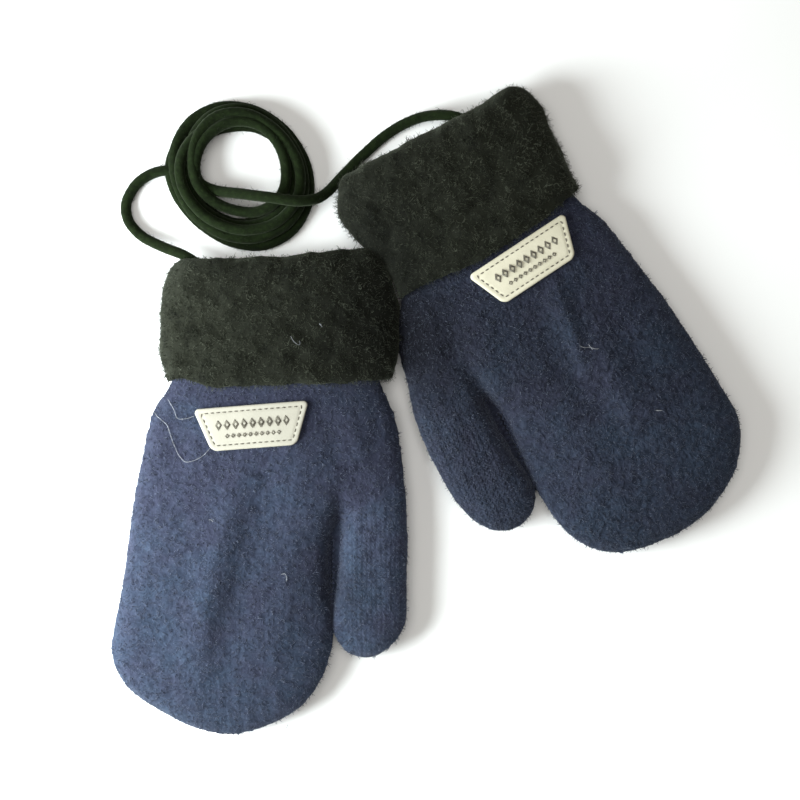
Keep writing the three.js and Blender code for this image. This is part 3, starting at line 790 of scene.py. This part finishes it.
# The cuffs
# Each cuff is a tube of thick black brushed knit, 3 mm through, sewn to the wrist and turned back over it, so
# that the fold is at the mouth and the hem lies on the hand. Its long loose nap hides the stitches.
cuff_colours = [(0.0010, 0.0011, 0.0006), (0.0030, 0.0033, 0.0020), (0.0090, 0.0098, 0.0064)]
cuff_material = wool_material("black_brushed_wool", cuff_colours, 1.6 * mm, 0.1, (0.9, 1.0, 0.75), curl=0.5,
                              clouds=1.5)
cuffs = {}
for side in mittens:
    node = "mitten_" + side + "_cuff"
    mesh = rounded_copy(node, side + "_cuff_tube", 0.75 * mm, 5, 30)
    points = points_of(mesh)
    normals = normals_of(mesh)
    along, across = own_places(side, points)
    fluff = 0.25 + 0.7 * uneven(points, 6 * mm, 3) + 0.35 * uneven(points, 2.8 * mm, 4)
    upper = np.clip(normals[:, 2] + 0.6, 0, 1) * np.clip((points[:, 2] / mm - 5) / 4, 0, 1)
    sides_out = np.clip(0.7 - np.abs(normals[:, 2]), 0, 1) * 0.8
    points += normals * (fluff * np.maximum(upper, sides_out) * mm)[:, None]
    points += swell(cuff_swells[side], normals, along, across)
    points[:, 2] = np.maximum(points[:, 2], 0)
    set_points(mesh, points)
    set_shade(mesh, side)
    piece = add_object(side + "_cuff_tube", mesh, cuff_material)
    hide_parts(node)
    cuffs[side] = piece

# The nap
# Brushing has pulled short fibres out of the navy cloth and long ones out of the cuffs. They are the same wool as the
# cloth
# below them, coloured lighter than it: painted light on the fibres that stand up out of the cloth.
nap_root_depth = 0.1 * mm
nap_free = 5 * mm  # nothing lies over a fibre within that distance
nap_lowest = 0.8 * mm
nap_seeds = {"left": 40, "right": 50}
fluff_seeds = {"left": 60, "right": 70}
cloth_pieces = [*panels.values(), *cuffs.values()]
all_points = []
all_faces = []
for piece in cloth_pieces:
    start = len(all_points)
    all_points += [vertex.co.copy() for vertex in piece.data.vertices]
    all_faces += [[start + index for index in face.vertices] for face in piece.data.polygons]
cloth_tree = BVHTree.FromPolygons(all_points, all_faces)


def open_roots(mesh, count, seed):
    """Places on a cloth's outside, spread evenly, that nothing covers, with the directions out of the cloth."""
    rng = np.random.default_rng(seed)
    mesh.calc_loop_triangles()
    corners = np.empty(len(mesh.loop_triangles) * 3, np.int32)
    mesh.loop_triangles.foreach_get("vertices", corners)
    corners = corners.reshape(-1, 3)
    points = points_of(mesh)[corners]
    normals = normals_of(mesh)[corners]
    areas = np.linalg.norm(np.cross(points[:, 1] - points[:, 0], points[:, 2] - points[:, 0]), axis=1)
    heights = points[:, :, 2].mean(axis=1)
    areas[(normals[:, :, 2].mean(axis=1) < -0.55) | (heights < nap_lowest)] = 0
    chosen = rng.choice(len(corners), count, p=areas / areas.sum())
    shares = rng.dirichlet((1, 1, 1), count)[:, :, None]
    roots = (points[chosen] * shares).sum(axis=1)
    ways = (normals[chosen] * shares).sum(axis=1)
    ways /= np.linalg.norm(ways, axis=1)[:, None]
    clear = [cloth_tree.ray_cast(Vector(root + 0.25 * mm * way), Vector(way), nap_free)[0] is None
             for root, way in zip(roots, ways)]
    return roots[clear], ways[clear]


def nap_piece(name, mesh, side, count, length, thick, rise, lean, tufts, bends, material, seed):
    """Fibres that lie over a cloth in all directions, most of them leaning to the fingers. Neighbours lie alike, in
    that many tufts."""
    roots, ways = open_roots(mesh, count, seed)
    rng = np.random.default_rng(seed + 1)
    to_fingers = np.array(frame_place(side, 100, 0) - frame_place(side, 0, 0))
    to_fingers /= np.linalg.norm(to_fingers)
    flat_ways = rng.normal(size=roots.shape)
    flat_ways -= ways * (flat_ways * ways).sum(axis=1)[:, None]
    flat_ways /= np.linalg.norm(flat_ways, axis=1)[:, None]
    fibre_ways = flat_ways + lean * to_fingers + ways * rng.uniform(*rise, len(roots))[:, None]
    fibre_ways /= np.linalg.norm(fibre_ways, axis=1)[:, None]
    tuft_finder = KDTree(tufts)
    for index in range(tufts):
        tuft_finder.insert(roots[index], index)
    tuft_finder.balance()
    nearest = [tuft_finder.find(root)[1] for root in roots]
    fibre_ways = 0.45 * fibre_ways + 0.55 * fibre_ways[nearest]
    fibre_ways /= np.linalg.norm(fibre_ways, axis=1)[:, None]
    lengths = rng.uniform(*length, len(roots))
    low = roots[:, 2] + fibre_ways[:, 2] * lengths < 0.2 * mm
    fibre_ways[low, 2] = np.abs(fibre_ways[low, 2])
    starts = roots - nap_root_depth * ways
    piece = fibre_piece(name, starts, fibre_ways, lengths, thick, bends, 0.5, material, seed + 2)
    set_shade(piece.data, side)
    return piece


# Lighter copies of the cloth's colours: painted light on the raised fibres
nap_lit_colours = [(0.019, 0.023, 0.039), (0.038, 0.046, 0.076), (0.084, 0.097, 0.144)]
fluff_lit_colours = [(0.0035, 0.0039, 0.0024), (0.0160, 0.0175, 0.0115), (0.0680, 0.0730, 0.0540)]
fluff_material = wool_material("black_fluff", fluff_lit_colours, 1.4 * mm, 0.12, (0.9, 1.0, 0.75), clouds=1.1)
for side in mittens:
    # The fibres carry their mitten's painted shade tone too
    shaded_fibre_colours = toned(nap_lit_colours, hand_painted_shade_tones[side])
    nap_material = wool_material("navy_nap_" + side, shaded_fibre_colours, 0.8 * mm, 0.3, (0.72, 0.8, 1.0))
    nap_piece(
        side + "_hand_nap", panels[side, "back"].data, side, count=17000, length=(0.7 * mm, 1.7 * mm),
        thick=0.17 * mm, rise=(0.12, 0.7), lean=0.3, tufts=2500, bends=1, material=nap_material,
        seed=nap_seeds[side])
    nap_piece(
        side + "_cuff_fluff", cuffs[side].data, side, count=11000, length=(1.0 * mm, 2.3 * mm),
        thick=0.16 * mm, rise=(0.15, 1.0), lean=0.45, tufts=900, bends=2, material=fluff_material,
        seed=fluff_seeds[side])

# The patches
# A patch of cream leatherette in two layers is sewn on below each cuff's hem, with a grey-brown thread. It is a
# trapezoid with its long edge to the cuff, and has a pressed band of small lozenges in its middle.
patches = {
    "left": {"along": 47.3, "across": -6.1, "turn": -4.5},
    "right": {"along": 43.4, "across": -9.6, "turn": 9.0},
}
patch_long = 32.2
patch_short = 23.6
patch_wide = 12.0
patch_thick = 1.2
patch_corner = 1.3
corner_roundness = 0.45
stitch_inset = 1.45
# Rows of lozenges, in millimetres: how far from the patch's middle, how tall, how far apart, and how many
lozenge_rows = [(-1.0, 2.9, 2.35, 9), (2.1, 1.3, 1.6, 10)]
lozenge_width = 0.42  # half of each, as a share of how far apart they are
lozenge_opening = 0.42
lozenge_low = 1.16
lozenge_high = 1.24
stitch_length = 1.05
stitch_gap = 0.6
stitch_thick = 0.36
stitch_height = 1.17
stitch_corner = 0.5
outline_step = 0.05
patch_around = 150


def trapezoid(inset, corner, step):
    """The patch's outline in millimetres, moved in by the inset, with round corners and equal steps."""
    half = patch_wide / 2 - inset
    lean = (patch_long - patch_short) / 2 / patch_wide
    side_inset = inset * math.hypot(1, lean)
    middle_half = (patch_long + patch_short) / 4 - side_inset
    corners = [(-middle_half - lean * half, -half), (middle_half + lean * half, -half),
               (middle_half - lean * half, half), (-middle_half + lean * half, half)]
    line = []
    for index, corner_point in enumerate(corners):
        here = Vector(corner_point)
        before = (Vector(corners[index - 1]) - here).normalized()
        after = (Vector(corners[(index + 1) % 4]) - here).normalized()
        start = here + before * corner
        end = here + after * corner
        chord_middle = (start + end) / 2
        pulled = chord_middle + (here - chord_middle) * corner_roundness
        for part in (0, 0.25, 0.5, 0.75, 1):
            bent = start * (1 - part) ** 2 + pulled * 2 * part * (1 - part) + end * part ** 2
            line.append((bent.x, bent.y, 0))
    line.append(line[0])
    return even_path(line, step)[:-1, :2]


def patch_places(side, outline):
    """Across and along the mitten, from the patch's own outline."""
    patch = patches[side]
    angle = math.radians(patch["turn"])
    across = patch["across"] + outline[:, 0] * math.cos(angle) - outline[:, 1] * math.sin(angle)
    along = patch["along"] + outline[:, 0] * math.sin(angle) + outline[:, 1] * math.cos(angle)
    return along, across


def surface_height(tree, point, start=30 * mm):
    hit = tree.ray_cast(Vector((point.x, point.y, start)), Vector((0, 0, -1)))[0]
    return hit.z if hit else 0.0


def patch_bed(side):
    """The smooth surface that the patch lies on: its height from the outline's x and y, as six numbers."""
    tree = BVHTree.FromObject(panels[side, "back"], bpy.context.evaluated_depsgraph_get())
    grid = np.array([(x, y) for x in np.linspace(-15, 15, 13) for y in np.linspace(-5.5, 5.5, 7)])
    along, across = patch_places(side, grid)
    heights = np.array([surface_height(tree, frame_place(side, a, c)) for a, c in zip(along, across)])
    found = np.linalg.lstsq(bed_terms(grid), heights, rcond=None)[0]
    return found


def bed_terms(places):
    x, y = places[:, 0], places[:, 1]
    return np.stack([np.ones_like(x), x, y, x * x, x * y, y * y], axis=1)


def patch_points(side, bed, outline, height):
    along, across = patch_places(side, outline)
    ground = bed_terms(outline) @ bed
    on_table = np.array([frame_place(side, a, c) for a, c in zip(along, across)])
    on_table[:, 2] = ground + height * mm
    return on_table


def leatherette(name, colour, deep_colour, roughness):
    """Coated cloth: an even cream with a fine pebble and faint rubbing marks."""
    material = bpy.data.materials.new(name)
    material.use_nodes = True
    tree = material.node_tree
    shader = tree.nodes["Principled BSDF"]
    shader.inputs["Roughness"].default_value = roughness
    where = new_node(tree, "ShaderNodeTexCoord").outputs["Object"]
    rubbed = noise_value(tree, where, 6 * mm, 3.0, 0.6)
    stops = [(0.35, deep_colour), (0.65, colour)]
    tree.links.new(colour_ramp(tree, rubbed, stops), shader.inputs["Base Color"])
    pebble = new_node(tree, "ShaderNodeTexVoronoi", {"Vector": where, "Scale": 1 / (0.45 * mm)})
    add_bump(tree, shader, pebble.outputs["Distance"], 0.03 * mm, 0.5)
    return material


# Both patches are the same cream leatherette: the left copy is coloured darker and the right one lighter, painted
# shade set against the stronger light on the left patch
patch_materials = {
    "left": leatherette("cream_leatherette_left", (0.36, 0.34, 0.28), (0.33, 0.312, 0.255), 0.55),
    "right": leatherette("cream_leatherette_right", (0.57, 0.535, 0.41), (0.51, 0.48, 0.36), 0.55),
}
thread_material = leatherette("grey_brown_thread", (0.140, 0.128, 0.097), (0.098, 0.089, 0.067), 0.8)
# Each ring of the patch: how far in from the outline, and how high. The two layers leave a fine groove between
# them.
patch_rings = [
    (1.2, 0.0), (0.3, 0.0), (0.05, 0.12), (0.0, 0.3), (0.02, 0.46), (0.16, 0.54), (0.16, 0.6), (0.0, 0.68),
    (0.0, 0.95), (0.1, 1.1), (0.3, 1.19), (0.7, 1.2), (1.25, 1.17), (1.5, 1.1), (1.75, 1.17), (2.3, 1.2),
]
patch_seat = 0.12  # the patch's underside over the cloth it is sewn to
for side in mittens:
    bed = patch_bed(side)
    rings = []
    for inset, height in patch_rings:
        outline = trapezoid(inset, max(0.3, patch_corner - 0.8 * inset), outline_step)
        picks = (np.arange(patch_around) * len(outline) / patch_around).astype(int)
        rings.append(patch_points(side, bed, outline[picks], height + patch_seat))
    verts = np.concatenate(rings)
    mesh = mesh_from(side + "_patch", verts, loft_rings(rings))
    patch = add_object(side + "_patch", mesh, patch_materials[side])
    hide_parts("label_" + side)
    line = trapezoid(stitch_inset, stitch_corner, outline_step)
    stitch_count = round(len(line) * outline_step / (stitch_length + stitch_gap))
    parts = []
    for index in range(stitch_count):
        here = int(index * len(line) / stitch_count)
        ahead = (here + 6) % len(line)
        pair = patch_points(side, bed, line[[here, ahead]], stitch_height + patch_seat)
        way = Vector(pair[1] - pair[0]).normalized()
        aside = way.cross(Vector((0, 0, 1))).normalized()
        parts.append(bead(way, aside, aside.cross(way), Vector(pair[0]), stitch_length * mm, stitch_thick * mm))
    verts, faces = joined(parts)
    stitches = add_object(side + "_patch_stitches", mesh_from(side + "_patch_stitches", verts, faces),
                          thread_material)
    lozenges = []
    for y, tall, spacing, in_row in lozenge_rows:
        for index in range(in_row):
            x = (index - (in_row - 1) / 2) * spacing
            reach = tall / 2
            wide = spacing * lozenge_width
            outer = np.array([(x - wide, y), (x, y - reach), (x + wide, y), (x, y + reach)])
            inner = np.array([x, y]) + (outer - np.array([x, y])) * lozenge_opening
            low_outer = patch_points(side, bed, outer, lozenge_low + patch_seat)
            high_outer = patch_points(side, bed, outer, lozenge_high + patch_seat)
            high_inner = patch_points(side, bed, inner, lozenge_high + patch_seat)
            low_inner = patch_points(side, bed, inner, lozenge_low + patch_seat)
            ring_verts = [*low_outer, *high_outer, *high_inner, *low_inner]
            ring_faces = []
            for layer in range(4):
                for corner in range(4):
                    a, b = layer * 4, ((layer + 1) % 4) * 4
                    ring_faces.append([a + corner, a + (corner + 1) % 4, b + (corner + 1) % 4, b + corner])
            lozenges.append((ring_verts, ring_faces))
    verts, faces = joined(lozenges)
    band = add_object(side + "_patch_lozenges", mesh_from(side + "_patch_lozenges", verts, faces),
                      thread_material)

# The lint
# White threads and specks of lint have caught on the wool. The longest thread lies from the left mitten's edge
# to its patch.
lint_lines = [
    [(-0.0770, 0.0032), (-0.0752, -0.0010), (-0.0718, -0.0036), (-0.0704, -0.0080), (-0.0688, -0.0118),
     (-0.0668, -0.0142), (-0.0640, -0.0136), (-0.0615, -0.0122), (-0.0596, -0.0100)],
    [(-0.0718, 0.0036), (-0.0698, 0.0004), (-0.0690, -0.0022), (-0.0662, -0.0020), (-0.0640, -0.0012)],
    [(-0.0400, -0.0452), (-0.0390, -0.0446), (-0.0384, -0.0458), (-0.0386, -0.0472)],
    [(-0.0372, 0.0208), (-0.0362, 0.0190), (-0.0344, 0.0180), (-0.0348, 0.0196)],
    [(-0.0300, 0.0250), (-0.0297, 0.0243)],
    [(0.0424, 0.0182), (0.0440, 0.0175), (0.0452, 0.0180), (0.0468, 0.0172), (0.0480, 0.0174)],
    [(0.0450, 0.0186), (0.0462, 0.0170)],
    [(0.0664, 0.0004), (0.0668, 0.0002)],
    [(-0.0395, -0.0902), (-0.0388, -0.0886)],
    [(-0.0600, -0.0300), (-0.0592, -0.0296), (-0.0588, -0.0306)],
]
lint_thick = 0.14 * mm
lint_lift = 0.35 * mm
parts = []
for line in lint_lines:
    path = eased_path([(x, y, 0) for x, y in line], 0.4 * mm, 0.6 * mm)
    path = np.array([(x, y, surface_height(cloth_tree, Vector((x, y, 0)))) for x, y, z in path])
    path[:, 2] = np.convolve(np.pad(path[:, 2], 2, "edge"), np.ones(5) / 5, "valid") + lint_lift
    ways, across_ways, over_ways = tube_frames(path)
    rings = []
    for index, point in enumerate(path):
        share = 0.3 if index in (0, len(path) - 1) else 1
        for corner in range(4):
            angle = corner * math.pi / 2
            out = across_ways[index] * math.cos(angle) + over_ways[index] * math.sin(angle)
            rings.append(point + out * share * lint_thick / 2)
    parts.append((rings, loft_rings([rings[i:i + 4] for i in range(0, len(rings), 4)])))
verts, faces = joined(parts)
lint_colours = [(0.14, 0.15, 0.16), (0.24, 0.25, 0.27), (0.38, 0.39, 0.41)]
lint_material = wool_material("white_lint", lint_colours, 0.8 * mm, 0.1, (1.0, 1.0, 1.0))
lint = add_object("lint", mesh_from("lint", verts, faces), lint_material)

# The table and the light
# A plain white surface, with a broad soft light from the left like a window, and weak light from all round.
table_size = 3.0
table_mesh = mesh_from("table", [(-table_size, -table_size, 0), (table_size, -table_size, 0),
                                 (table_size, table_size, 0), (-table_size, table_size, 0)], [[0, 1, 2, 3]])
table = bpy.data.objects.new("table", table_mesh)
table.location.z = -0.02 * mm
scene.collection.objects.link(table)
table_material = bpy.data.materials.new("white_table")
table_material.use_nodes = True
table_shader = table_material.node_tree.nodes["Principled BSDF"]
table_shader.inputs["Base Color"].default_value = (0.93, 0.93, 0.92, 1)
table_shader.inputs["Roughness"].default_value = 0.9
table_shader.inputs["Specular IOR Level"].default_value = 0.1
table_mesh.materials.append(table_material)


def soft_light(name, place, size, power, colour):
    data = bpy.data.lights.new(name, "AREA")
    data.shape = "DISK"
    data.size = size
    data.energy = power
    data.color = colour
    light = bpy.data.objects.new(name, data)
    light.location = place
    light.rotation_euler = (Vector((0, 0, 0)) - light.location).to_track_quat("-Z", "Y").to_euler()
    scene.collection.objects.link(light)


soft_light("window", Vector((-0.265, -0.06, 0.12)), 0.24, 3.5, (0.91, 0.985, 1.0))
soft_light("ceiling", Vector((-0.1, 0.1, 1.4)), 1.2, 9.2, (1.0, 0.985, 0.955))
scene.world = bpy.data.worlds.new("room")
scene.world.use_nodes = True
room = scene.world.node_tree.nodes["Background"]
room.inputs["Color"].default_value = (1.0, 0.97, 0.91, 1)
room.inputs["Strength"].default_value = 0.2
scene.view_settings.view_transform = "Standard"
